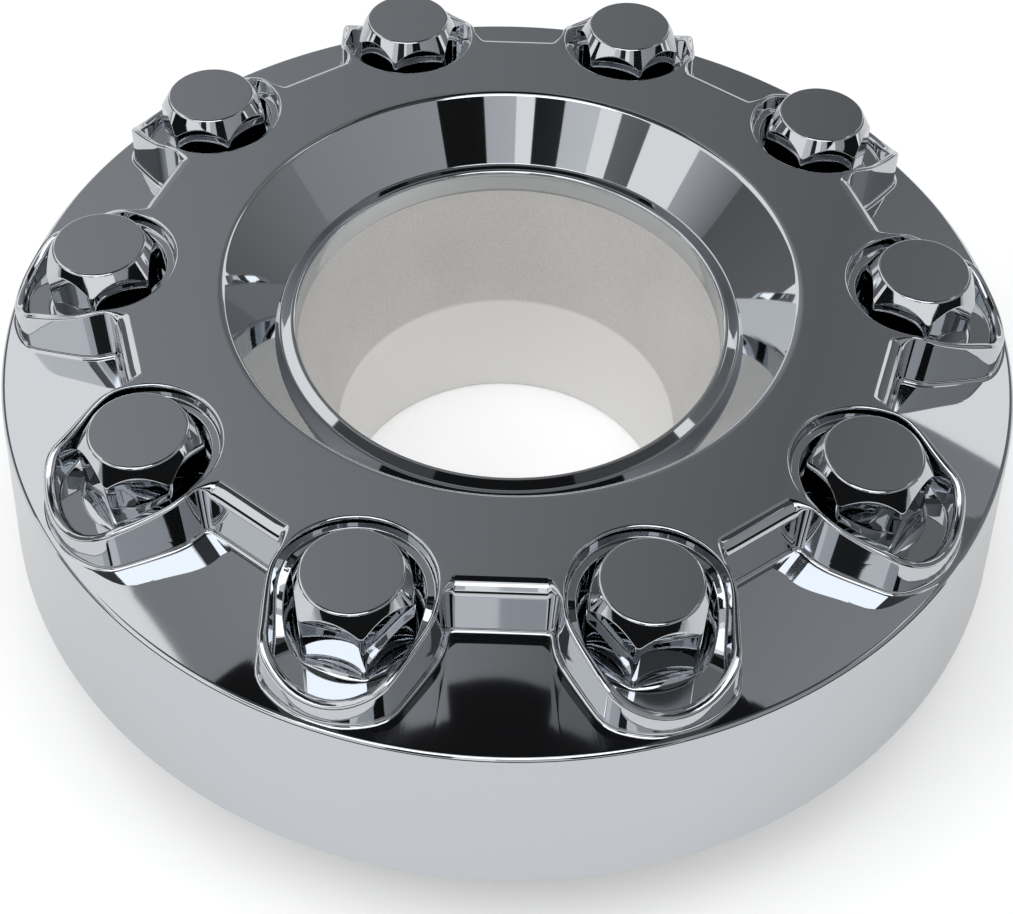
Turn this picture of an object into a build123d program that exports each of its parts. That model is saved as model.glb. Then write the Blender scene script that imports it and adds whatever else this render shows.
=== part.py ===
from build123d import *
from math import acos, cos, degrees, radians, sin, tan
import os

# Cover for the hub of a driven axle: one plated moulding with an open centre.
# The Z axis is the wheel's axis and +Z is the side seen on the wheel. The origin is
# on that axis, in the plane of the collar's foot, which the cover stands on.
# The first nut cover lies on +X. All sizes are in millimetres and degrees.

# Stud pattern
NUTS = 10
BOLT_CIRCLE = 225.0

# Walls
WALL = 3.0
NUT_WALL = 2.6

# Skirt, the outer wall
SKIRT_FOOT_R = 146.6
SKIRT_TOP_R = 141.2
SKIRT_FOOT_Z = 30.0
SKIRT_HEIGHT = 50.0
SKIRT_EDGE_BEVEL = 1.2

# Shelf, which runs inwards from the skirt's top
SHELF_SLOPE = 7.3

# Raised face, seen from above a ring with ten lobes
FACE_RISE = 20.0
WAIST_R = 107.0
LOBE_R = 21.0
FACE_DRAFT = 20.0
# Beyond the bolt circle the tops of the lobes fall towards the skirt
LOBE_FALL = 21.0
LOBE_FALL_BEVEL = 2.5
BROW_R = 133.0
BROW_BEVEL = 2.0
LOBE_NOSE_GAP = 1.9

# Pockets, egg-shaped wells round the nut covers
POCKET_R = 18.4
POCKET_DEPTH = 23.0
POCKET_REACH = 23.4
POCKET_CORNER_R = 8.0
POCKET_CORNER_OUT = 13.0
POCKET_CORNER_SIDE = 7.6

# Nut covers
NUT_ACROSS_FLATS = 27.7
NUT_RISE = 5.5
NUT_DISC_R = 12.4
NUT_CONE = 60.0
SOCKET_TAPER = 3.2

# Collar, cone, lip and funnel round the open centre, each step outwards from the last
COLLAR_R = 50.2
CONE_FOOT_STEP = 0.3
CONE_FOOT_Z = 40.0
CONE_SPREAD = 9.5
BAND_DEPTH = 8.0
LIP_RISE = 1.6
LIP_BEVEL = 0.8
LIP_WIDTH = 3.2
LIP_STEP = 4.5
FUNNEL_SPREAD = 14.5
FUNNEL_DEPTH = 16.5
FUNNEL_MOUTH_BEVEL = 1.5

CONE_FOOT_R = COLLAR_R + CONE_FOOT_STEP
LIP_R = CONE_FOOT_R + CONE_SPREAD
FUNNEL_FOOT_R = LIP_R + LIP_STEP
FUNNEL_MOUTH_R = FUNNEL_FOOT_R + FUNNEL_SPREAD
SHELF_EDGE_Z = SKIRT_FOOT_Z + SKIRT_HEIGHT
FACE_Z = SHELF_EDGE_Z + FACE_RISE
NUT_R = BOLT_CIRCLE / 2
FLOOR_Z = FACE_Z - POCKET_DEPTH
NUT_TOP_Z = FACE_Z + NUT_RISE
CLEAR = 5.0
SHELF_SINK = 1.25


def shelf_z(radius):
    """Height of the shelf's upper side at a radius."""
    return SHELF_EDGE_Z + (SKIRT_TOP_R - radius) * tan(radians(SHELF_SLOPE))


def bevelled(corners):
    """Points of a closed outline from corners given as radius, height, bevel."""
    points = []
    for index, (radius, height, bevel) in enumerate(corners):
        corner = Vector(radius, height)
        if bevel == 0:
            points.append(corner)
            continue
        for other in (corners[index - 1], corners[(index + 1) % len(corners)]):
            side = Vector(other[0], other[1]) - corner
            points.append(corner + side.normalized() * bevel)
    return points


def turned(corners):
    """Solid turned round the Z axis from corners given as radius, height, bevel."""
    outline = Polyline(*bevelled(corners), close=True)
    return revolve(Plane.XZ * make_face(outline), Axis.Z)


def at_nuts(shape):
    """A copy of the shape at each stud, turned so that its +X points outwards."""
    return [place * shape for place in PolarLocations(NUT_R, NUTS)]


def lobed_outline(offset):
    """Outline of the raised face, moved outwards by an offset from its top edge.

    Each lobe is an arc round its stud, and one hollow arc joins two lobes.
    """
    half_step = 180 / NUTS
    lobe_r = LOBE_R + offset
    waist_r = WAIST_R + offset
    across = NUT_R * sin(radians(half_step))
    along = NUT_R * cos(radians(half_step)) - waist_r
    hollow_r = (across**2 + along**2 - lobe_r**2) / (2 * (lobe_r + along))
    hollow = Vector(waist_r + hollow_r, 0).rotate(Axis.Z, half_step)
    stud = Vector(NUT_R, 0)
    touch = stud + (hollow - stud).normalized() * lobe_r
    start = Vector(touch.X, -touch.Y)
    lobe = ThreePointArc(start, (NUT_R + lobe_r, 0), touch)
    bottom = Vector(waist_r, 0).rotate(Axis.Z, half_step)
    waist = ThreePointArc(touch, bottom, start.rotate(Axis.Z, 2 * half_step))
    turns = [Rot(0, 0, 2 * half_step * n) for n in range(NUTS)]
    return make_face([turn * arc for turn in turns for arc in (lobe, waist)])


def base():
    """Skirt, shelf and collar as a solid disc under the shelf."""
    return turned([
        (0, 0, 0),
        (COLLAR_R + WALL, 0, 0),
        (COLLAR_R + WALL, SKIRT_FOOT_Z, 0),
        (SKIRT_FOOT_R, SKIRT_FOOT_Z, 0),
        (SKIRT_TOP_R, SHELF_EDGE_Z, SKIRT_EDGE_BEVEL),
        (0, shelf_z(0), 0),
    ])


def raised_face():
    """Drafted block under the lobed outline, cut by the fall of the lobes' tops."""
    drop = FACE_RISE + SHELF_SINK
    outline = lobed_outline(drop * tan(radians(FACE_DRAFT)))
    block = Pos(0, 0, FACE_Z - drop) * extrude(outline, drop + CLEAR, taper=FACE_DRAFT)
    brow_z = FACE_Z - (BROW_R - NUT_R) * tan(radians(LOBE_FALL))
    nose_r = SKIRT_TOP_R - LOBE_NOSE_GAP
    nose_run = (nose_r - BROW_R) / (brow_z - shelf_z(nose_r))
    low_z = FACE_Z - drop - CLEAR
    cap = turned([
        (0, low_z, 0),
        (nose_r + (shelf_z(nose_r) - low_z) * nose_run, low_z, 0),
        (BROW_R, brow_z, BROW_BEVEL),
        (NUT_R, FACE_Z, LOBE_FALL_BEVEL),
        (0, FACE_Z, 0),
    ])
    return block & cap


def cavity():
    """Space behind the cover, between the skirt and the collar."""
    lean = (SKIRT_FOOT_R - SKIRT_TOP_R) / SKIRT_HEIGHT
    funnel_foot_z = FACE_Z - FUNNEL_DEPTH
    funnel_run = (FUNNEL_MOUTH_R - FUNNEL_FOOT_R) / FUNNEL_DEPTH
    wall_run = tan(radians(FACE_DRAFT))
    roof_z = FACE_Z - WALL
    band_foot_z = funnel_foot_z + LIP_RISE - BAND_DEPTH
    groove_z = funnel_foot_z - WALL
    foot_r = WAIST_R - WALL + (FACE_RISE - WALL) * wall_run
    top_r = SKIRT_TOP_R - WALL
    top_z = shelf_z(top_r) - WALL
    return turned([
        (COLLAR_R + WALL, -CLEAR, 0),
        (CONE_FOOT_R + WALL, CONE_FOOT_Z, 0),
        (LIP_R + WALL, band_foot_z, 0),
        (FUNNEL_FOOT_R + WALL * funnel_run, groove_z, 0),
        (FUNNEL_FOOT_R + WALL * funnel_run + (roof_z - groove_z) * funnel_run, roof_z, 0),
        (WAIST_R - WALL, roof_z, 0),
        (foot_r, shelf_z(foot_r) - WALL, 0),
        (top_r, top_z, 0),
        (top_r + (top_z + CLEAR) * lean, -CLEAR, 0),
    ])


def egg(grow):
    """Outline of a pocket round its stud, grown outwards.

    A round back, two straight flanks, two corners and a wide front, all tangent.
    """
    back_r = POCKET_R + grow
    corner_r = POCKET_CORNER_R + grow
    tip = Vector(POCKET_REACH + grow, 0)
    corner = Vector(POCKET_CORNER_OUT, POCKET_CORNER_SIDE)
    turn = acos((back_r - corner_r) / corner.length)
    flank = corner.normalized().rotate(Axis.Z, degrees(turn))
    inner_reach = tip.X - corner_r
    front_x = (corner.length**2 - inner_reach**2) / (2 * (corner.X - inner_reach))
    front = (corner - Vector(front_x, 0)).normalized()
    middle = (flank + front).normalized()
    ends = [flank * back_r, corner + flank * corner_r, corner + front * corner_r]
    bend = corner + middle * corner_r
    low = [Vector(point.X, -point.Y) for point in ends]
    return make_face([
        ThreePointArc(ends[0], (-back_r, 0), low[0]),
        Line(low[0], low[1]),
        ThreePointArc(low[1], (bend.X, -bend.Y), low[2]),
        ThreePointArc(low[2], tip, ends[2]),
        ThreePointArc(ends[2], bend, ends[1]),
        Line(ends[1], ends[0]),
    ])


def pocket_block(grow, foot_z, top_z):
    """Block with the outline of a pocket, grown outwards, between two heights."""
    return Pos(0, 0, foot_z) * extrude(egg(grow), top_z - foot_z)


def hexagon(apothem):
    """Hexagon with a flat side facing +X."""
    return RegularPolygon(apothem, 6, major_radius=False, rotation=30)


def nut_cover():
    """Hexagonal cover with a coned top, from the pocket's floor up."""
    foot_z = FLOOR_Z - WALL / 2
    apothem = NUT_ACROSS_FLATS / 2
    prism = Pos(0, 0, foot_z) * extrude(hexagon(apothem), NUT_TOP_Z - foot_z)
    reach = 2 * apothem
    fall = tan(radians(NUT_CONE))
    cap = turned([
        (0, foot_z - reach * fall, 0),
        (reach, NUT_TOP_Z - (reach - NUT_DISC_R) * fall, 0),
        (NUT_DISC_R, NUT_TOP_Z, 0),
        (0, NUT_TOP_Z, 0),
    ])
    return prism & cap


def nut_socket():
    """Space inside a nut cover, open behind the pocket's floor."""
    apothem = NUT_ACROSS_FLATS / 2 - NUT_WALL
    low_z = FLOOR_Z - WALL - CLEAR
    shoulder_z = NUT_TOP_Z - NUT_WALL - SOCKET_TAPER
    prism = Pos(0, 0, low_z) * extrude(hexagon(apothem), shoulder_z - low_z)
    return prism + Pos(0, 0, shoulder_z) * extrude(hexagon(apothem), SOCKET_TAPER, taper=45)


def centre():
    """Open centre: funnel, lip, band, cone and collar bore."""
    funnel_foot_z = FACE_Z - FUNNEL_DEPTH
    funnel_run = (FUNNEL_MOUTH_R - FUNNEL_FOOT_R) / FUNNEL_DEPTH
    lip_z = funnel_foot_z + LIP_RISE
    return turned([
        (0, -CLEAR, 0),
        (COLLAR_R, -CLEAR, 0),
        (COLLAR_R, CONE_FOOT_Z - CLEAR, 0),
        (CONE_FOOT_R, CONE_FOOT_Z, 0),
        (LIP_R, lip_z - BAND_DEPTH, 0),
        (LIP_R, lip_z, LIP_BEVEL),
        (LIP_R + LIP_WIDTH, lip_z, LIP_BEVEL),
        (FUNNEL_FOOT_R, funnel_foot_z, 0),
        (FUNNEL_MOUTH_R - FUNNEL_MOUTH_BEVEL * funnel_run, FACE_Z - FUNNEL_MOUTH_BEVEL, 0),
        (FUNNEL_MOUTH_R + FUNNEL_MOUTH_BEVEL, FACE_Z, 0),
        (FUNNEL_MOUTH_R + FUNNEL_MOUTH_BEVEL, FACE_Z + CLEAR, 0),
        (0, FACE_Z + CLEAR, 0),
    ])


def hub_cover():
    """The whole moulding."""
    cup = pocket_block(WALL, FLOOR_Z - WALL, FACE_Z)
    well = pocket_block(0, FLOOR_Z, FACE_Z + CLEAR)
    body = base() + raised_face() - (cavity() - at_nuts(cup))
    body = body - centre() - at_nuts(well)
    body = body + at_nuts(nut_cover())
    return body - at_nuts(nut_socket())


def main():
    os.makedirs("parts", exist_ok=True)
    export_step(hub_cover(), "parts/hub_cover.step")


main()
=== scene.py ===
import math

import bmesh
import bpy
import numpy as np
from mathutils import Matrix, Vector
from mathutils.geometry import delaunay_2d_cdt


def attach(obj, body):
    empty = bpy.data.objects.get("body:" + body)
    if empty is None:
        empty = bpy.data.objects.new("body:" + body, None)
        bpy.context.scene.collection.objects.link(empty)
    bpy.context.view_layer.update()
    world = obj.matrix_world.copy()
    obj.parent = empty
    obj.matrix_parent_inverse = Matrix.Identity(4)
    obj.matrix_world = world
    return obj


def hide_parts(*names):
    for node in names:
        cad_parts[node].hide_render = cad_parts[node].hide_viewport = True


# Plated cover for a driven axle's hub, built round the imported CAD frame.
# Sizes of the object are in millimetres, in the CAD frame: Z is the wheel's axis and
# z = 0 is the collar's foot. A mesh is scaled to metres when it is made.
# A turn is an angle in radians. Round a stud, 0 points away from the wheel's axis, and
# round the axis, 0 points at the stud. Reach is measured from a stud, and radius from
# the wheel's axis.
MM = 0.001

# Whole cover
STUDS = 10
HALF_STEP = math.pi / STUDS
STUD_R = 112.5
FACE_Z = 100.0
FLOOR_Z = 77.0
WALL = 3.0

# Skirt and shelf
SKIRT_TOP_R = 141.2
SKIRT_FOOT_R = 146.6
SKIRT_FOOT_Z = 30.0
SKIRT_EDGE_ROUND = 1.8
SKIRT_FOOT_ROUND = 0.3
SHELF_EDGE_Z = 80.0
SHELF_SLOPE = math.tan(math.radians(7.3))
SHELF_READ_R = 130

# Raised face, its lobes and the straight walls in the gaps between them
LOBE_R = 21.0
WAIST_R = 107.0
GAP_CORNER_R = 3.2
LOBE_RUN = math.tan(math.radians(2.5))
GAP_RUN = math.tan(math.radians(4.0))
LOBE_FALL = math.tan(math.radians(21.0))
LOBE_FALL_BLEND = 2.8
SHOULDER_ROUND = 4.5
SHOULDER_GROWTH = 0.04
SHOULDER_SPREAD = 0.043
SHOULDER_WIDTH = 4.2
BASE_ROUND = 1.4
BASE_ROUND_LEAST = 0.55
BASE_TANGENT = 0.72
LEVEL_IN = 0.5
SHELF_RUN = 4.0
NOSE_R = 139.3
NOSE_MARGIN = 0.4
NOSE_BLEND = 0.8
NOSE_HALF_TURN = math.radians(60)
NOSE_FADE = math.radians(20)

# Lip round each pocket
LIP_EDGE_ROUND = 1.5
LIP_WIDTH = 2.85
LIP_LEVEL_REACH = LOBE_R - LEVEL_IN
LIP_NOSE_Z = 86.5
LIP_NOSE_RISE = 4.0
LIP_NOSE_TURN = math.radians(30)
LIP_NOSE_BLEND = 2.0
LIP_FOLLOW_TURN = math.radians(15)

# Egg-shaped pockets, each with a ledge and a well round the nut cover
POCKET_R = 18.4
POCKET_REACH = 23.4
POCKET_CORNER_R = 8.0
POCKET_CORNER_OUT = 13.0
POCKET_CORNER_SIDE = 7.6
WELL_R = 16.95
WELL_Z = 83.5
WELL_LEAN = 0.1
WELL_EDGE_ROUND = 0.4
LEDGE_STEP = 0.6
LEDGE_DROP = 3.5
LEDGE_MARGIN = 0.6
LEDGE_SPREAD = 1.7
LEDGE_ROUND = 0.5
RIM_LEAN = 0.4
RIM_REACH = 4.5
CUP_WALL = 2.0
CUP_LEAN = 0.2
CUP_ROUND = 0.8

# Nut covers, and the sockets behind them
NUT_APOTHEM = 13.85
NUT_CORNER_ROUND = 1.7
NUT_TOP_Z = 105.5
NUT_DISC_R = 12.4
NUT_DISC_ROUND = 1.0
NUT_CONE = math.tan(math.radians(60.0))
NUT_CONE_ROUND = 0.6
NUT_FLARE_ROOM = 0.2
NUT_FLARE_LEAST = 0.4
SOCKET_APOTHEM = 11.25
SOCKET_CORNER_ROUND = 0.81
SOCKET_MOUTH_ROUND = 0.4
SOCKET_TAPER = 3.2
SOCKET_TOP_Z = 102.9

# Funnel, lip, band, cone and collar
FUNNEL_MOUTH_R = 79.0
FUNNEL_MOUTH_ROUND = 2.8
FUNNEL_FOOT_R = 64.5
FUNNEL_FOOT_Z = 83.5
FUNNEL_FOOT_ROUND = 0.8
FUNNEL_BACK_STEP = 2.64
LIP_R = 60.0
LIP_Z = 85.1
LIP_ROUND = 1.2
BAND_FOOT_Z = 77.1
CONE_FOOT_R = 50.5
CONE_FOOT_Z = 40.0
CONE_ROUND = 1.5
COLLAR_R = 50.2
COLLAR_ROUND = 0.5
ROOF_R = 81.64
ROOF_Z = 97.0

# How the mesh is cut: turns past a nut's corner in degrees, radii at which the roof
# behind bends, and how far the copies' edges may lie apart, in metres
PAST_CORNER_CUTS = (7.2, 10.8, 15.0, 20.0, 25.0, 30.0)
GAP_CORNER_CUTS = 10
GAP_STRAIGHT_CUTS = 4
CENTRE_CUTS = 25
CREASE_RADII = (104.0, 104.6, 105.19, 111.0, 118.0, 125.0)
CREASE_TURNS = np.radians(np.arange(-17, 17.1, 1.0))
CREASE_CLEARANCE = 0.6
SETTLE_ROUNDS = 6
ON_EDGE = 1e-6
SLIVER = 1e-4
SAME_POINT = 1e-7
WELD = 2e-6


def shelf_z(radius):
    """Height of the shelf's upper side at a radius."""
    return SHELF_EDGE_Z + (SKIRT_TOP_R - radius) * SHELF_SLOPE


def face_z(radius):
    """Height of the raised face, which falls outside the bolt circle."""
    past = radius - STUD_R
    blend = LOBE_FALL * (past + LOBE_FALL_BLEND) ** 2 / (4 * LOBE_FALL_BLEND)
    drop = np.where(past > LOBE_FALL_BLEND, LOBE_FALL * past, blend)
    return FACE_Z - np.where(past < -LOBE_FALL_BLEND, 0.0, drop)


def smooth_step(value):
    """0 below 0, 1 above 1 and a smooth rise between them."""
    share = np.clip(value, 0.0, 1.0)
    return share * share * (3 - 2 * share)


def smooth_least(first, second, blend):
    """The smaller of two values, with a soft change from one to the other."""
    share = np.clip(0.5 + 0.5 * (second - first) / blend, 0.0, 1.0)
    return second * (1 - share) + first * share - blend * share * (1 - share)


def hexagon_r(turn, apothem, corner_round):
    """Distance from the middle to a hexagon with rounded corners and a flat at turn 0."""
    from_flat = np.mod(turn + math.pi / 6, math.pi / 3) - math.pi / 6
    from_corner = math.pi / 6 - np.abs(from_flat)
    centre = (apothem - corner_round) / math.cos(math.pi / 6)
    touch = math.atan2(corner_round * 0.5, centre + corner_round * math.cos(math.pi / 6))
    reach = np.sqrt(np.maximum(corner_round**2 - (centre * np.sin(from_corner)) ** 2, 0))
    rounded_r = centre * np.cos(from_corner) + reach
    return np.where(from_corner < touch, rounded_r, apothem / np.cos(from_flat))


def pocket_r(turn, grow=0.0):
    """Distance from the stud to the egg-shaped edge of a pocket."""
    back_r = POCKET_R + grow
    corner_r = POCKET_CORNER_R + grow
    reach = POCKET_REACH + grow
    away = math.hypot(POCKET_CORNER_OUT, POCKET_CORNER_SIDE)
    corner_turn = math.atan2(POCKET_CORNER_SIDE, POCKET_CORNER_OUT)
    flank = corner_turn + math.acos((back_r - corner_r) / away)
    inner = reach - corner_r
    front_x = (away**2 - inner**2) / (2 * (POCKET_CORNER_OUT - inner))
    front = math.atan2(POCKET_CORNER_SIDE, POCKET_CORNER_OUT - front_x)
    flank_end = math.atan2(
        POCKET_CORNER_SIDE + corner_r * math.sin(flank),
        POCKET_CORNER_OUT + corner_r * math.cos(flank),
    )
    front_end = math.atan2(
        POCKET_CORNER_SIDE + corner_r * math.sin(front),
        POCKET_CORNER_OUT + corner_r * math.cos(front),
    )
    side = np.abs(np.mod(turn + math.pi, 2 * math.pi) - math.pi)
    from_corner = side - corner_turn
    chord = np.maximum(corner_r**2 - (away * np.sin(from_corner)) ** 2, 0)
    corner = away * np.cos(from_corner) + np.sqrt(chord)
    front_r = reach - front_x
    chord = np.maximum(front_r**2 - (front_x * np.sin(side)) ** 2, 0)
    nose = front_x * np.cos(side) + np.sqrt(chord)
    straight = back_r / np.maximum(np.cos(side - flank), 0.2)
    edge = np.where(side < flank_end, corner, np.where(side < flank, straight, back_r))
    return np.where(side < front_end, nose, edge)


def hub_r(turn, reach):
    """Distance from the wheel's axis of a point at a turn and reach from the stud."""
    return np.hypot(STUD_R + reach * np.cos(turn), reach * np.sin(turn))


def ray_to_radius(turn, radius):
    """Reach from the stud, along a turn, at which a ray meets a circle round the axis."""
    along = STUD_R * np.cos(turn)
    return -along + np.sqrt(along**2 - STUD_R**2 + radius**2)


def unit(vectors):
    """Vectors scaled to a length of 1, and their lengths."""
    lengths = np.maximum(np.linalg.norm(vectors, axis=-1, keepdims=True), 1e-9)
    return vectors / lengths, lengths


def rounded(corners):
    """Rows of points along profiles whose corners are rounded.

    A corner is reach, height, radius and segments. Each of the first three is one value,
    or one for every column. The first and the last corner only give directions, and a
    corner without segments is one point. Two rounded corners share the side between
    them, and one alone takes nearly all of it.
    """
    half_side, whole_side = 0.5, 0.96
    width = max(np.size(value) for corner in corners for value in corner)
    full = [
        [np.broadcast_to(np.asarray(value, float), (width,)) for value in corner[:3]]
        for corner in corners
    ]
    points = [np.stack(c[:2], -1) for c in full]
    rows = []
    for index in range(1, len(corners) - 1):
        segments = corners[index][3]
        corner = points[index]
        if segments == 0:
            rows.append(corner)
            continue
        back, back_length = unit(points[index - 1] - corner)
        ahead, ahead_length = unit(points[index + 1] - corner)
        turn = np.arccos(np.clip(-(back * ahead).sum(-1, keepdims=True), -1, 1))
        turn = np.maximum(turn, 1e-4)
        back_share = half_side if corners[index - 1][3] else whole_side
        ahead_share = half_side if corners[index + 1][3] else whole_side
        room = np.minimum(back_length * back_share, ahead_length * ahead_share)
        tangent = np.minimum(full[index][2][:, None] * np.tan(turn / 2), room)
        radius = tangent / np.tan(turn / 2)
        centre = corner + unit(back + ahead)[0] * radius / np.cos(turn / 2)
        start = corner + back * tangent - centre
        end = corner + ahead * tangent - centre
        for step in range(segments + 1):
            share = step / segments
            near = np.sin((1 - share) * turn) * start
            rows.append(centre + (near + np.sin(share * turn) * end) / np.sin(turn))
    return rows


class Sector:
    """Vertices and faces of one tenth of the moulding, each face plated or satin."""

    def __init__(self):
        self.points = []
        self.faces = []
        self.satin = []

    def add(self, points):
        """Adds points, and gives the number of the first."""
        start = len(self.points)
        self.points.extend(tuple(p) for p in points)
        return start

    def add_face(self, corners, satin):
        """Adds a face, whose satin is 1 where the plastic is bare and 0 where plated."""
        self.faces.append(corners)
        self.satin.append(satin)

    def add_rows(self, rows, closed=False, satin=0.0):
        """Quads between neighbouring rows of points."""
        count = len(rows[0])
        starts = [self.add(row) for row in rows]
        last = count if closed else count - 1
        for low, high in zip(starts, starts[1:]):
            for column in range(last):
                after = (column + 1) % count
                corners = (low + column, low + after, high + after, high + column)
                self.add_face(corners, satin)

    def add_fan(self, ring, tip, satin=0.0):
        """Triangles from a closed ring of points to one point."""
        start = self.add(ring)
        middle = self.add([tip])
        for column in range(len(ring)):
            after = (column + 1) % len(ring)
            self.add_face((start + column, start + after, middle), satin)

    def add_fill(self, outline, hole=(), inside=(), satin=0.0):
        """Triangles inside an outline given in plan, whose points keep their heights."""
        points = list(outline) + list(hole) + list(inside)
        plan = [Vector((p[0], p[1])) for p in points]
        outer = len(outline)
        ring = len(hole)
        edges = [(n, (n + 1) % outer) for n in range(outer)]
        edges += [(outer + n, outer + (n + 1) % ring) for n in range(ring)]
        places, _, triangles, sources, _, _ = delaunay_2d_cdt(
            plan, edges, [], 0, SAME_POINT
        )
        if len(places) != len(points):
            raise RuntimeError("the fill's outline crosses itself")
        start = self.add(points)
        for triangle in triangles:
            one, two, three = (places[n] for n in triangle)
            middle = (one + two + three) / 3
            sliver = abs((two - one).cross(three - one)) < SLIVER
            if sliver or not within(middle, plan[:outer]):
                continue
            if ring and within(middle, plan[outer:outer + ring]):
                continue
            self.add_face(tuple(start + sources[n][0] for n in triangle), satin)


def within(point, outline):
    """Whether a point in plan lies inside a closed outline."""
    inside = False
    for one, two in zip(outline, outline[1:] + outline[:1]):
        if (one.y > point.y) != (two.y > point.y):
            if point.x < one.x + (point.y - one.y) * (two.x - one.x) / (two.y - one.y):
                inside = not inside
    return inside


def round_stud(turn, rows):
    """Rows of reach and height, placed in the upright planes through a stud's axis."""
    return [
        np.stack([
            STUD_R + row[:, 0] * np.cos(turn),
            row[:, 0] * np.sin(turn),
            row[:, 1],
        ], -1)
        for row in rows
    ]


def round_axis(turn, rows):
    """Rows of radius and height, placed in the planes through the wheel's axis."""
    placed = []
    for row in rows:
        radius = np.broadcast_to(row[:, 0], turn.shape)
        height = np.broadcast_to(row[:, 1], turn.shape)
        across, along = radius * np.cos(turn), radius * np.sin(turn)
        placed.append(np.stack([across, along, height], -1))
    return placed


def gap_corner():
    """Corner arc between a lobe and the straight wall in the gap beside it.

    Gives the turn round the stud at which the arc starts, the arc's centre, and the
    distance from that centre to the middle of the gap.
    """
    out = WAIST_R + GAP_CORNER_R - STUD_R * math.cos(HALF_STEP)
    aside = math.sqrt((LOBE_R + GAP_CORNER_R) ** 2 - out**2)
    straight = STUD_R * math.sin(HALF_STEP) - aside
    centre = (WAIST_R + GAP_CORNER_R) * GAP_OUT - straight * GAP_ASIDE
    return HALF_STEP + math.atan2(aside, out), centre, straight


GAP_OUT = np.array([math.cos(HALF_STEP), math.sin(HALF_STEP)])
GAP_ASIDE = np.array([-math.sin(HALF_STEP), math.cos(HALF_STEP)])
TOUCH, GAP_CORNER, GAP_STRAIGHT = gap_corner()


def stud_turns():
    """Turns round a stud at which the moulding is cut, closer at the nut's corners."""
    centre = (NUT_APOTHEM - NUT_CORNER_ROUND) / math.cos(math.pi / 6)
    edge = math.atan2(
        NUT_CORNER_ROUND * 0.5, centre + NUT_CORNER_ROUND * math.cos(math.pi / 6)
    )
    beside = TOUCH - math.pi / 2
    half = [0.0, edge / 2, edge, beside]
    half += [math.radians(degrees) for degrees in PAST_CORNER_CUTS]
    turns = set()
    for corner in range(6):
        middle = math.pi / 6 + corner * math.pi / 3
        for value in half:
            for sign in (-1, 1):
                turn = (middle + sign * value + math.pi) % (2 * math.pi) - math.pi
                turns.add(round(turn, 9))
    return np.array(sorted(turns))


TURNS = stud_turns()


def lip_z(turn):
    """Height of the lip round a pocket, which comes down to the shelf at the nose."""
    by_face = face_z(hub_r(turn, LIP_LEVEL_REACH))
    away = np.abs(turn) / LIP_NOSE_TURN
    by_nose = LIP_NOSE_Z + LIP_NOSE_RISE * away**2
    return smooth_least(by_face, by_nose, LIP_NOSE_BLEND)


def lobe_corner(turn):
    """Reach and height of the outer corner of a lobe's lip."""
    height = lip_z(turn)
    cone = LOBE_R + (FACE_Z - height) * LOBE_RUN
    follow = smooth_step((TOUCH - np.abs(turn)) / LIP_FOLLOW_TURN)
    return cone + (pocket_r(turn) + LIP_WIDTH - cone) * follow, height


def lobe_foot(turn):
    """Reach and height of the foot of a lobe's wall on the shelf."""
    corner, height = lobe_corner(turn)
    nose = ray_to_radius(turn, NOSE_R)
    share = smooth_step((NOSE_HALF_TURN - np.abs(turn)) / NOSE_FADE)
    reach = corner + 2.0
    for _ in range(SETTLE_ROUNDS):
        plain = corner + (height - shelf_z(hub_r(turn, reach))) * LOBE_RUN
        reach = plain * (1 - share) + smooth_least(plain, nose, NOSE_BLEND) * share
    return reach, shelf_z(hub_r(turn, reach))


def nut_and_pocket(sector):
    """Nut cover, well, ledge and pocket wall, up to the inner side of the lip.

    The ledge lies just above the well at the nose, and rises towards the face behind
    the nut cover. The lip's inner rounding is fuller there too.
    """
    turn = TURNS
    side = np.abs(turn)
    beside = smooth_step((side - math.radians(30)) / math.radians(60))
    rise = smooth_step((side - math.radians(40)) / math.radians(70))
    back = smooth_step((side - TOUCH) / math.radians(25))
    hexagon = hexagon_r(turn, NUT_APOTHEM, NUT_CORNER_ROUND)
    junction = NUT_TOP_Z - (hexagon - NUT_DISC_R) * NUT_CONE
    flare = np.maximum(WELL_R - NUT_FLARE_ROOM - hexagon, NUT_FLARE_LEAST)
    ledge_low = WELL_Z + LEDGE_STEP
    ledge_z = ledge_low + (FACE_Z - LEDGE_DROP - ledge_low) * rise
    ledge_edge = pocket_r(turn) - LEDGE_MARGIN + LEDGE_SPREAD * beside
    inner_edge = ledge_edge + RIM_LEAN
    corner, top = lobe_corner(turn)
    lip_round = 0.5 * (corner - inner_edge) * (1 + 0.8 * back)
    rows = rounded([
        (0, NUT_TOP_Z, 0, 0),
        (NUT_DISC_R, NUT_TOP_Z, NUT_DISC_ROUND, 4),
        (hexagon, junction, NUT_CONE_ROUND, 3),
        (hexagon + WELL_LEAN, WELL_Z, flare, 5),
        (WELL_R, WELL_Z, 0, 0),
        (WELL_R + WELL_LEAN, ledge_z, WELL_EDGE_ROUND, 2),
        (ledge_edge, ledge_z, LEDGE_ROUND, 2),
        (inner_edge, top, lip_round, 5),
        (inner_edge + RIM_REACH, top, 0, 0),
    ])
    placed = round_stud(turn, rows)
    sector.add_rows(placed, closed=True)
    sector.add_fan(placed[0], (STUD_R, 0, NUT_TOP_Z))
    return placed[-1], rows[-1][:, 0]


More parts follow.
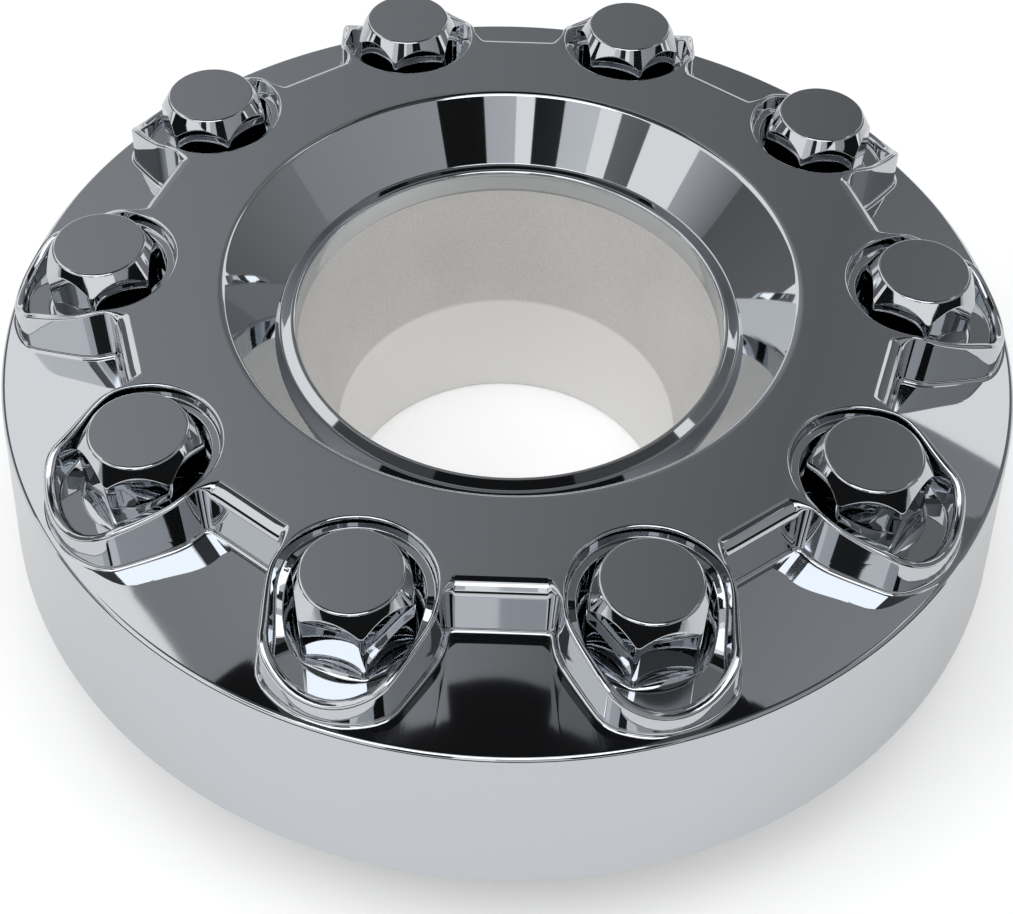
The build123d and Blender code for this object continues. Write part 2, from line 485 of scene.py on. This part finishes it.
def lobe_line(rim_reach):
    """Sizes of the wall round a lobe, one for each turn from one touch to the other."""
    on_lobe = np.abs(TURNS) <= TOUCH + ON_EDGE
    turn = TURNS[on_lobe]
    corner, height = lobe_corner(turn)
    foot, foot_z = lobe_foot(turn)
    room = (NOSE_R + NOSE_MARGIN - hub_r(turn, foot)) / BASE_TANGENT
    out = np.stack([np.cos(turn), np.sin(turn)], -1)
    origin = np.stack([
        STUD_R + LOBE_R * np.cos(turn), LOBE_R * np.sin(turn)
    ], -1)
    return {
        "inner": rim_reach[on_lobe] - LOBE_R,
        "inner_z": height,
        "corner": corner - LOBE_R,
        "corner_z": height,
        "edge": np.full_like(turn, LIP_EDGE_ROUND),
        "foot": foot - LOBE_R,
        "foot_z": foot_z,
        "base": np.minimum(BASE_ROUND, np.maximum(room, BASE_ROUND_LEAST)),
        "origin": origin,
        "out": out,
    }


def gap_line(start):
    """Sizes of the wall in half a gap, from a lobe's touch to the middle.

    The wall turns round the gap's corner and then runs straight. Its shoulder widens and
    gets rounder with the run from the touch, where it starts as wide as the lobe's.
    """
    swing = np.linspace(TOUCH + math.pi, math.pi + HALF_STEP, GAP_CORNER_CUTS + 1)[1:]
    arc_out = -np.stack([np.cos(swing), np.sin(swing)], -1)
    aside = np.linspace(0, GAP_STRAIGHT, GAP_STRAIGHT_CUTS + 1)[1:]
    line_start = GAP_CORNER - GAP_OUT * GAP_CORNER_R
    origin = np.concatenate([
        GAP_CORNER - arc_out * GAP_CORNER_R,
        line_start + GAP_ASIDE * aside[:, None],
    ])
    out = np.concatenate([arc_out, np.tile(GAP_OUT, (len(aside), 1))])
    well_past = np.full(len(aside), 10.0)
    past_touch = np.concatenate([TOUCH + math.pi - swing, well_past])
    run = GAP_CORNER_R * past_touch
    top = face_z(np.linalg.norm(origin - out * LEVEL_IN, axis=-1))
    share = smooth_step(past_touch / (TOUCH - HALF_STEP))
    slope = LOBE_RUN + (GAP_RUN - LOBE_RUN) * share
    reach = np.full(len(origin), SHELF_RUN)
    for _ in range(SETTLE_ROUNDS):
        foot_point = origin + out * reach[:, None]
        reach = (FACE_Z - shelf_z(np.linalg.norm(foot_point, axis=-1))) * slope
    foot_point = origin + out * reach[:, None]
    return {
        "inner": -np.minimum(-start + SHOULDER_SPREAD * run**3, SHOULDER_WIDTH),
        "inner_z": top,
        "corner": (FACE_Z - top) * slope,
        "corner_z": top,
        "edge": np.minimum(LIP_EDGE_ROUND + SHOULDER_GROWTH * run**3, SHOULDER_ROUND),
        "foot": reach,
        "foot_z": shelf_z(np.linalg.norm(foot_point, axis=-1)),
        "base": np.full_like(reach, BASE_ROUND),
        "origin": origin,
        "out": out,
    }


def lobe_wall(sector, rim_reach):
    """Lip's outer side, wall and foot of the raised face, from one waist to the next."""
    lobe = lobe_line(rim_reach)
    gap = gap_line(float(lobe["inner"][-1]))
    line = {}
    for name, side in gap.items():
        mirror = side * np.array([1, -1]) if side.ndim == 2 else side
        line[name] = np.concatenate([mirror[::-1], lobe[name], side])
    past = line["foot"] + SHELF_RUN
    past_point = line["origin"] + line["out"] * past[:, None]
    rows = rounded([
        (line["inner"] - 1, line["inner_z"], 0, 0),
        (line["inner"], line["inner_z"], 0, 0),
        (line["corner"], line["corner_z"], line["edge"], 6),
        (line["foot"], line["foot_z"], line["base"], 5),
        (past, shelf_z(np.linalg.norm(past_point, axis=-1)), 0, 0),
    ])
    placed = []
    for row in rows:
        plan = line["origin"] + line["out"] * row[:, :1]
        placed.append(np.concatenate([plan, row[:, 1:]], -1))
    sector.add_rows(placed)
    return placed[0], placed[-1], len(gap["foot"])


def skirt(sector, shelf_start):
    """Shelf, skirt and the inside of the skirt. Gives the edge of the space behind."""
    turn = np.arctan2(shelf_start[:, 1], shelf_start[:, 0])
    top_r = SKIRT_TOP_R - WALL
    rows = rounded([
        (SHELF_READ_R, shelf_z(SHELF_READ_R), 0, 0),
        (SKIRT_TOP_R, SHELF_EDGE_Z, SKIRT_EDGE_ROUND, 6),
        (SKIRT_FOOT_R, SKIRT_FOOT_Z, SKIRT_FOOT_ROUND, 2),
        (SKIRT_FOOT_R - WALL, SKIRT_FOOT_Z, SKIRT_FOOT_ROUND, 2),
        (top_r, shelf_z(top_r) - WALL, 0, 0),
        (SHELF_READ_R, shelf_z(SHELF_READ_R) - WALL, 0, 0),
    ])
    placed = round_axis(turn, rows)
    sector.add_rows([shelf_start] + placed)
    return placed[-1]


def centre(sector):
    """Funnel, lip, band, cone and collar, and their backs up to the roof behind."""
    turn = np.linspace(-HALF_STEP, HALF_STEP, CENTRE_CUTS)
    rows = rounded([
        (95, FACE_Z, 0, 0),
        (FUNNEL_MOUTH_R, FACE_Z, FUNNEL_MOUTH_ROUND, 6),
        (FUNNEL_FOOT_R, FUNNEL_FOOT_Z, FUNNEL_FOOT_ROUND, 3),
        (LIP_R, LIP_Z, LIP_ROUND, 6),
        (LIP_R, BAND_FOOT_Z, 0, 0),
        (LIP_R, CONE_FOOT_Z, 0, 0),
    ])
    plated = round_axis(turn, rows)
    sector.add_rows(plated)
    rows = rounded([
        (LIP_R, LIP_Z, 0, 0),
        (LIP_R, BAND_FOOT_Z, 0, 0),
        (CONE_FOOT_R, CONE_FOOT_Z, CONE_ROUND, 3),
        (COLLAR_R, CONE_FOOT_Z - 5, 0, 0),
        (COLLAR_R, 0, COLLAR_ROUND, 2),
        (COLLAR_R + WALL, 0, COLLAR_ROUND, 2),
        (CONE_FOOT_R + WALL, CONE_FOOT_Z, CONE_ROUND, 2),
        (LIP_R + WALL, BAND_FOOT_Z, CONE_ROUND, 2),
        (FUNNEL_FOOT_R + FUNNEL_BACK_STEP, FUNNEL_FOOT_Z - WALL, 1.0, 2),
        (ROOF_R, ROOF_Z, 0, 0),
        (ROOF_R + 5, ROOF_Z, 0, 0),
    ])
    plain = round_axis(turn, rows)
    sector.add_rows(plain, satin=1.0)
    return plated[0], plain[-1]


def border(near, far, height, count):
    """Points on the sector's edge at radii between two others, both left out."""
    radii = near + (far - near) * np.linspace(0, 1, count)[1:-1]
    return np.stack([
        radii * math.cos(HALF_STEP), radii * math.sin(HALF_STEP), height(radii)
    ], -1)


def face(sector, rim, waist, waist_columns, mouth):
    """Flat of the raised face between the funnel, the waists and the pocket's back."""
    back = np.abs(TURNS) >= TOUCH - ON_EDGE
    upper = rim[back & (TURNS > 0)]
    lower = rim[back & (TURNS < 0)]
    right = waist[:waist_columns]
    left = waist[-waist_columns:]
    mouth_r = math.hypot(mouth[-1][0], mouth[-1][1])
    waist_r = math.hypot(left[-1][0], left[-1][1])
    edge = border(mouth_r, waist_r, lambda radii: np.full_like(radii, FACE_Z), 6)
    mirrored = edge * np.array([1, -1, 1])
    outline = np.concatenate([
        mouth, edge, left[::-1], upper, lower, right[::-1], mirrored[::-1]
    ])
    sector.add_fill(outline)


def cavity_z(radius):
    """Height of the roof of the space behind the cover."""
    inner = WAIST_R - WALL
    outer = inner + (FACE_Z - SHELF_EDGE_Z - WALL) * GAP_RUN
    low = shelf_z(outer) - WALL
    slope = ROOF_Z + (radius - inner) * (low - ROOF_Z) / (outer - inner)
    return np.where(
        radius < inner, ROOF_Z, np.where(radius < outer, slope, shelf_z(radius) - WALL)
    )


def behind(sector, rim, inner_ring):
    """Roof of the space behind the cover, with the cups and the nut sockets."""
    turn = TURNS
    cup = pocket_r(turn, CUP_WALL)
    cup_top = cavity_z(hub_r(turn, cup))
    socket = hexagon_r(turn, SOCKET_APOTHEM, SOCKET_CORNER_ROUND)
    tip = socket * (1 - SOCKET_TAPER / SOCKET_APOTHEM)
    rows = rounded([
        (cup, cup_top + 1, 0, 0),
        (cup, cup_top, 0, 0),
        (cup - CUP_LEAN, FLOOR_Z - WALL, CUP_ROUND, 2),
        (socket, FLOOR_Z - WALL, SOCKET_MOUTH_ROUND, 1),
        (socket, SOCKET_TOP_Z - SOCKET_TAPER, 0, 0),
        (tip, SOCKET_TOP_Z, 0, 0),
        (tip - 2, SOCKET_TOP_Z, 0, 0),
    ])
    placed = round_stud(turn, rows)
    sector.add_rows(placed, closed=True, satin=1.0)
    sector.add_fan(placed[-1], (STUD_R, 0, SOCKET_TOP_Z), satin=1.0)
    near = math.hypot(inner_ring[0][0], inner_ring[0][1])
    far = math.hypot(rim[0][0], rim[0][1])
    edge = border(near, far, cavity_z, 12)
    mirrored = edge * np.array([1, -1, 1])
    outline = np.concatenate([inner_ring, edge, rim[::-1], mirrored[::-1]])
    crease = []
    for radius in CREASE_RADII:
        height = float(cavity_z(np.array(radius)))
        for angle in CREASE_TURNS:
            x, y = radius * math.cos(angle), radius * math.sin(angle)
            facing = np.array(math.atan2(y, x - STUD_R))
            clear = float(pocket_r(facing, CUP_WALL)) + CREASE_CLEARANCE
            if math.hypot(x - STUD_R, y) > clear:
                crease.append((x, y, height))
    sector.add_fill(outline, hole=placed[0], inside=crease, satin=1.0)


def link_object(name, data):
    """A new object in the scene."""
    made = bpy.data.objects.new(name, data)
    bpy.context.scene.collection.objects.link(made)
    return made


def sector_object():
    """One tenth of the moulding as an object, before it is repeated."""
    sector = Sector()
    rim, rim_reach = nut_and_pocket(sector)
    waist, shelf_start, waist_columns = lobe_wall(sector, rim_reach)
    space_edge = skirt(sector, shelf_start)
    mouth, inner_ring = centre(sector)
    face(sector, rim, waist, waist_columns, mouth)
    behind(sector, space_edge, inner_ring)
    mesh = bpy.data.meshes.new("cover_tenth")
    points = [(p[0] * MM, p[1] * MM, p[2] * MM) for p in sector.points]
    mesh.from_pydata(points, [], sector.faces)
    finish = mesh.attributes.new("satin", "FLOAT", "FACE")
    finish.data.foreach_set("value", sector.satin)
    return link_object("cover_tenth", mesh)


def repeat_tree(name):
    """Geometry Nodes that turn one sector about the axis, join its copies and weld."""
    tree = bpy.data.node_groups.new(name, "GeometryNodeTree")
    sockets = {}
    for label, kind, out in (
        ("Sector", "NodeSocketGeometry", False),
        ("Studs", "NodeSocketInt", False),
        ("Weld", "NodeSocketFloat", False),
        ("Finish", "NodeSocketMaterial", False),
        ("Moulding", "NodeSocketGeometry", True),
    ):
        direction = "OUTPUT" if out else "INPUT"
        item = tree.interface.new_socket(label, in_out=direction, socket_type=kind)
        sockets[label] = item.identifier
    start = tree.nodes.new("NodeGroupInput")
    end = tree.nodes.new("NodeGroupOutput")
    points = tree.nodes.new("GeometryNodePoints")
    index = tree.nodes.new("GeometryNodeInputIndex")
    step = tree.nodes.new("ShaderNodeMath")
    step.operation = "DIVIDE"
    step.inputs[0].default_value = 2 * math.pi
    angle = tree.nodes.new("ShaderNodeMath")
    angle.operation = "MULTIPLY"
    turn = tree.nodes.new("ShaderNodeCombineXYZ")
    copies = tree.nodes.new("GeometryNodeInstanceOnPoints")
    real = tree.nodes.new("GeometryNodeRealizeInstances")
    weld = tree.nodes.new("GeometryNodeMergeByDistance")
    smooth = tree.nodes.new("GeometryNodeSetShadeSmooth")
    paint = tree.nodes.new("GeometryNodeSetMaterial")
    link = tree.links.new
    link(start.outputs["Studs"], points.inputs["Count"])
    link(start.outputs["Studs"], step.inputs[1])
    link(index.outputs[0], angle.inputs[0])
    link(step.outputs[0], angle.inputs[1])
    link(angle.outputs[0], turn.inputs["Z"])
    link(points.outputs[0], copies.inputs["Points"])
    link(start.outputs["Sector"], copies.inputs["Instance"])
    link(turn.outputs[0], copies.inputs["Rotation"])
    link(copies.outputs[0], real.inputs[0])
    link(real.outputs[0], weld.inputs["Geometry"])
    link(start.outputs["Weld"], weld.inputs["Distance"])
    link(weld.outputs[0], smooth.inputs["Geometry"])
    link(smooth.outputs[0], paint.inputs["Geometry"])
    link(start.outputs["Finish"], paint.inputs["Material"])
    link(paint.outputs[0], end.inputs[0])
    return tree, sockets


def soften_normals(mesh):
    """Normals weighted by the faces' areas, so that flats stay flat beside roundings."""
    count = len(mesh.polygons)
    normals = np.zeros(count * 3)
    areas = np.zeros(count)
    totals = np.zeros(count, dtype=np.int32)
    corners = np.zeros(len(mesh.loops), dtype=np.int32)
    mesh.polygons.foreach_get("normal", normals)
    mesh.polygons.foreach_get("area", areas)
    mesh.polygons.foreach_get("loop_total", totals)
    mesh.loops.foreach_get("vertex_index", corners)
    weighted = normals.reshape(-1, 3) * areas[:, None]
    spread = np.repeat(weighted, totals, axis=0)
    total = np.zeros((len(mesh.vertices), 3))
    np.add.at(total, corners, spread)
    total /= np.maximum(np.linalg.norm(total, axis=1, keepdims=True), 1e-20)
    mesh.normals_split_custom_set_from_vertices(total.tolist())


def moulding(finish):
    """The whole moulding as one plain, closed mesh, with its faces outwards."""
    tenth = sector_object()
    tree, sockets = repeat_tree("turn_about_axle")
    modifier = tenth.modifiers.new("turn_about_axle", "NODES")
    modifier.node_group = tree
    modifier[sockets["Studs"]] = STUDS
    modifier[sockets["Weld"]] = WELD
    modifier[sockets["Finish"]] = finish
    depsgraph = bpy.context.evaluated_depsgraph_get()
    mesh = bpy.data.meshes.new_from_object(tenth.evaluated_get(depsgraph))
    tenth.modifiers.remove(modifier)
    bpy.data.objects.remove(tenth)
    build = bmesh.new()
    build.from_mesh(mesh)
    bmesh.ops.recalc_face_normals(build, faces=build.faces)
    build.to_mesh(mesh)
    build.free()
    soften_normals(mesh)
    mesh.name = "hub_cover_shell"
    return link_object("hub_cover_shell", mesh)


class Value:
    """A number on its way through a material. Python's operators add Math nodes."""

    def __init__(self, material, socket):
        self.material = material
        self.socket = socket

    def _math(self, operation, first, second):
        node = self.material.node(
            "ShaderNodeMath", {"operation": operation}, {0: first, 1: second}
        )
        return node.value()

    def __add__(self, other):
        return self._math("ADD", self, other)

    __radd__ = __add__

    def __sub__(self, other):
        return self._math("SUBTRACT", self, other)

    def __rsub__(self, other):
        return self._math("SUBTRACT", other, self)

    def __mul__(self, other):
        return self._math("MULTIPLY", self, other)

    __rmul__ = __mul__


class Step:
    """One node, with its outputs at hand."""

    def __init__(self, material, node):
        self.material = material
        self.node = node

    def value(self, name=0):
        return Value(self.material, self.node.outputs[name])


class Finish:
    """A material or world whose nodes are added by one method."""

    def __init__(self, tree):
        self.tree = tree
        tree.nodes.clear()

    def node(self, kind, settings=None, sockets=None):
        """Adds a node: its settings first, then the values or links of its sockets."""
        made = self.tree.nodes.new(kind)
        for name, setting in (settings or {}).items():
            if name == "stops":
                ramp = made.color_ramp
                while len(ramp.elements) < len(setting):
                    ramp.elements.new(0.5)
                for element, (place, tone) in zip(ramp.elements, setting):
                    element.position = place
                    element.color = (*tone, 1)
            else:
                setattr(made, name, setting)
        for name, source in (sockets or {}).items():
            if isinstance(source, Value):
                self.tree.links.new(source.socket, made.inputs[name])
            else:
                made.inputs[name].default_value = source
        return Step(self, made)


def new_material(name):
    """A material without nodes, and the finish that adds them."""
    material = bpy.data.materials.new(name)
    material.use_nodes = True
    return material, Finish(material.node_tree)


def plating():
    """Mirror plating with a faint haze, and the satin of the bare inside.

    The satin is palest on the collar, below the foot of the cone, where its colour holds
    painted light from the floor below, and the cone's satin is darkened as painted shade.
    """
    chrome = (0.63, 0.65, 0.675, 1)
    # The collar's satin is made paler as painted light from the floor through the bore,
    # and the cone's satin darker as painted shade; both are the same bare plastic.
    collar_satin_painted_light = (0.95, 0.94, 0.92, 1)
    cone_satin_painted_shade = [(0.3, (0.60, 0.59, 0.575)), (0.7, (0.76, 0.75, 0.735))]
    cone_foot = CONE_FOOT_Z * MM
    material, finish = new_material("mirror_plating")
    place = finish.node("ShaderNodeTexCoord").value("Object")
    satin = finish.node("ShaderNodeAttribute", {"attribute_name": "satin"}).value("Fac")
    haze = finish.node(
        "ShaderNodeTexNoise", {}, {"Vector": place, "Scale": 60.0, "Detail": 3.0}
    ).value(0)
    grain = finish.node(
        "ShaderNodeTexNoise", {}, {"Vector": place, "Scale": 1500.0, "Detail": 4.0}
    ).value(0)
    cloud = finish.node(
        "ShaderNodeTexNoise", {}, {"Vector": place, "Scale": 35.0, "Detail": 5.0}
    ).value(0)
    depth = finish.node("ShaderNodeSeparateXYZ", {}, {"Vector": place}).value("Z")
    # low is 1 below the cone's foot, where the satin takes the collar's paler colour of
    # painted light.
    low = finish.node(
        "ShaderNodeMapRange",
        {},
        {"Value": depth, "From Min": cone_foot, "From Max": cone_foot - 1.5 * MM},
    ).value(0)
    satin_with_painted_shading = finish.node(
        "ShaderNodeValToRGB",
        {"stops": cone_satin_painted_shade},
        {0: grain * 0.6 + cloud * 0.4},
    ).value(0)
    satin_with_painted_shading = finish.node(
        "ShaderNodeMix",
        {"data_type": "RGBA"},
        {"Factor": low, 6: satin_with_painted_shading, 7: collar_satin_painted_light},
    ).value(2)
    tone = finish.node(
        "ShaderNodeMix",
        {"data_type": "RGBA"},
        {"Factor": satin, 6: chrome, 7: satin_with_painted_shading},
    ).value(2)
    mirror_rough = 0.022 + 0.02 * haze
    rough = mirror_rough * (1 - satin) + (0.42 + 0.12 * grain) * satin
    metal = 1 - 0.75 * satin
    bump = finish.node(
        "ShaderNodeBump",
        {},
        {"Strength": 0.12, "Distance": 0.0002, "Height": grain * satin},
    ).value(0)
    surface = finish.node(
        "ShaderNodeBsdfPrincipled",
        {},
        {"Base Color": tone, "Metallic": metal, "Roughness": rough, "Normal": bump},
    ).value(0)
    finish.node("ShaderNodeOutputMaterial", {}, {"Surface": surface})
    return material


def card_material():
    """A studio card's light, in the tones painted on the card."""
    material, finish = new_material("studio_card")
    glow = finish.node("ShaderNodeAttribute", {"attribute_name": "glow"}).value("Color")
    light = finish.node("ShaderNodeEmission", {}, {"Color": glow}).value(0)
    finish.node("ShaderNodeOutputMaterial", {}, {"Surface": light})
    material.cycles.emission_sampling = "NONE"
    return material


def direction(azimuth, elevation):
    """Unit vector; azimuth 0 is the front and turns towards the right."""
    a, e = math.radians(azimuth), math.radians(elevation)
    return Vector((math.sin(a) * math.cos(e), -math.cos(a) * math.cos(e), math.sin(e)))


def card(paint, name, azimuths, elevations, distance, tones):
    """Curved card that fills a range of directions, and that only reflections see.

    Its brightness runs from the first tone at its first azimuth to the last tone at its
    last. A nearer card hides the cards behind it.
    """
    cool_white = (0.94, 0.965, 1.0, 1.0)
    columns = np.linspace(*azimuths, 25)
    rows = np.linspace(*elevations, 9)
    points = [direction(a, e) * distance for e in rows for a in columns]
    faces = []
    for row in range(len(rows) - 1):
        for column in range(len(columns) - 1):
            first = row * len(columns) + column
            above = first + len(columns)
            faces.append((first, first + 1, above + 1, above))
    mesh = bpy.data.meshes.new(name)
    mesh.from_pydata(points, [], faces)
    glow = mesh.attributes.new("glow", "FLOAT_COLOR", "POINT")
    shades = np.tile(np.linspace(*tones, len(columns)), len(rows))
    colours = np.outer(shades, cool_white)
    colours[:, 3] = 1.0
    glow.data.foreach_set("color", colours.ravel())
    mesh.materials.append(paint)
    piece = link_object(name, mesh)
    piece.visible_camera = False
    piece.visible_diffuse = False
    piece.visible_shadow = False


def surroundings():
    """White world, full for what the camera sees directly or in a mirror or glass."""
    world = bpy.data.worlds.new("studio")
    bpy.context.scene.world = world
    world.use_nodes = True
    air = Finish(world.node_tree)
    path = air.node("ShaderNodeLightPath")
    shown = path.value("Is Camera Ray")
    for ray in ("Is Glossy Ray", "Is Transmission Ray"):
        shown = air.node(
            "ShaderNodeMath", {"operation": "MAXIMUM"}, {0: shown, 1: path.value(ray)}
        ).value()
    sky = air.node(
        "ShaderNodeBackground",
        {},
        {"Color": (1, 1, 1, 1), "Strength": shown * 0.55 + 0.45},
    ).value(0)
    air.node("ShaderNodeOutputWorld", {}, {"Surface": sky})


def pale_floor():
    """Pale floor just below the collar's foot."""
    material, finish = new_material("pale_floor")
    path = finish.node("ShaderNodeLightPath")
    cloth = finish.node(
        "ShaderNodeBsdfDiffuse", {}, {"Color": (0.86, 0.865, 0.87, 1)}
    ).value(0)
    lift = finish.node(
        "ShaderNodeEmission",
        {},
        {"Color": (1, 1, 1, 1), "Strength": path.value("Is Camera Ray") * 0.25},
    ).value(0)
    both = finish.node("ShaderNodeAddShader", {}, {0: cloth, 1: lift}).value(0)
    finish.node("ShaderNodeOutputMaterial", {}, {"Surface": both})
    half = 6.0
    mesh = bpy.data.meshes.new("floor")
    corners = [(-half, -half, 0), (half, -half, 0), (half, half, 0), (-half, half, 0)]
    mesh.from_pydata(corners, [], [(0, 1, 2, 3)])
    mesh.materials.append(material)
    floor = link_object("floor", mesh)
    floor.location.z = -0.0004


def soft_lamps():
    """Three square lamps that light the cover and that the plating doesn't show."""
    for name, azimuth, elevation, distance, size, power in (
        ("soft_top", -20, 80, 1.8, 1.6, 14.0),
        ("soft_left", -75, 40, 2.0, 1.4, 10.0),
        ("soft_right", 80, 35, 2.2, 1.4, 7.0),
    ):
        data = bpy.data.lights.new(name, "AREA")
        data.shape = "SQUARE"
        data.size = size
        data.energy = power
        lamp = link_object(name, data)
        place = direction(azimuth, elevation) * distance
        lamp.location = place
        lamp.rotation_euler = (-place).to_track_quat("-Z", "Y").to_euler()
        lamp.visible_glossy = False


def reflection_cards():
    """Cards whose light and dark the plating shows.

    Each has its azimuths and elevations in degrees, its distance in metres, and its
    first and last tone.
    """
    paint = card_material()
    for name, azimuths, elevations, distance, tones in (
        ("card_back", (165, 213), (8, 78), 27.2, (0.15, 0.34)),
        ("card_back_beside", (148, 165), (8, 78), 27.2, (0.22, 0.15)),
        ("card_over_left", (-134, -50), (56, 79), 26.4, (0.07, 0.07)),
        ("card_over_right", (40, 134), (56, 79), 26.4, (0.07, 0.07)),
        ("card_back_left", (213, 222), (54.5, 74), 27.2, (0.30, 0.26)),
        ("card_back_right", (126, 148), (44, 74), 27.2, (0.34, 0.24)),
        ("card_over", (0, 360), (77, 90), 24.0, (0.01, 0.01)),
        ("card_over_back", (150, 208), (73.7, 79), 24.8, (0.01, 0.01)),
        ("card_over_notch", (169.2, 189.4), (72.5, 79), 24.8, (0.01, 0.01)),
        ("card_over_back_left", (205, 230), (65, 79), 24.8, (0.01, 0.01)),
        ("card_over_back_right", (120, 156), (66, 79), 24.8, (0.01, 0.01)),
        ("card_front", (0, 14), (20, 48), 25.6, (0.6, 0.55)),
        ("card_front_dark", (14, 34), (20, 48), 25.6, (0.01, 0.01)),
        ("card_front_right", (34, 95), (14, 56), 25.6, (0.38, 0.3)),
        ("card_right", (95, 138), (2, 52), 25.6, (0.24, 0.14)),
        ("card_front_slit", (339, 352), (20, 48), 25.6, (0.03, 0.02)),
        ("card_front_left", (324, 339), (20, 48), 25.6, (0.75, 0.7)),
        ("card_left_slit", (303, 315), (33, 50), 25.6, (0.14, 0.18)),
        ("card_left", (262, 282), (16, 34), 25.6, (0.2, 0.5)),
        ("card_far_left", (224, 262), (2, 30), 25.6, (0.16, 0.12)),
        ("card_front_bright", (-60, 36), (48, 66), 26.4, (2.2, 2.2)),
        ("card_horizon", (-90, 90), (-1, 14), 24.8, (0.01, 0.01)),
    ):
        card(paint, name, azimuths, elevations, distance, tones)


def camera():
    """Camera solved from the photograph. Its angles are in radians."""
    width = 1013
    focal_px = 1675.95
    azimuth, elevation, roll = 0.0007, 0.8709, 0.0311
    distance = 508.97
    target = Vector((-0.86, -7.75, SKIRT_FOOT_Z))
    ahead = Vector((
        -math.sin(azimuth) * math.cos(elevation),
        math.cos(azimuth) * math.cos(elevation),
        -math.sin(elevation),
    ))
    right = Vector((math.cos(azimuth), math.sin(azimuth), 0))
    up = right.cross(ahead)
    right_rolled = right * math.cos(roll) + up * math.sin(roll)
    up_rolled = up * math.cos(roll) - right * math.sin(roll)
    data = bpy.data.cameras.new("photo_camera")
    data.sensor_width = 36.0
    data.lens = focal_px * data.sensor_width / width
    data.shift_x = 4.25 / width
    data.clip_start = 0.01
    data.clip_end = 50
    view = link_object("photo_camera", data)
    turned = Matrix((right_rolled, up_rolled, -ahead)).transposed().to_4x4()
    view.matrix_world = Matrix.Translation((target - ahead * distance) * MM) @ turned
    bpy.context.scene.camera = view


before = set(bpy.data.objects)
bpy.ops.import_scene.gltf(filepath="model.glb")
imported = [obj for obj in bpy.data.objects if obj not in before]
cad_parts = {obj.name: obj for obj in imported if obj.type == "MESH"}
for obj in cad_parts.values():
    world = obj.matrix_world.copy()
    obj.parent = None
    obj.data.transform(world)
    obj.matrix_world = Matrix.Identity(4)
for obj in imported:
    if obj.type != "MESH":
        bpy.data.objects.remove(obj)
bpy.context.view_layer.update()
bpy.context.scene.view_settings.view_transform = "Standard"
cover = moulding(plating())
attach(cover, "root")
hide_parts("hub_cover")
surroundings()
pale_floor()
soft_lamps()
reflection_cards()
camera()
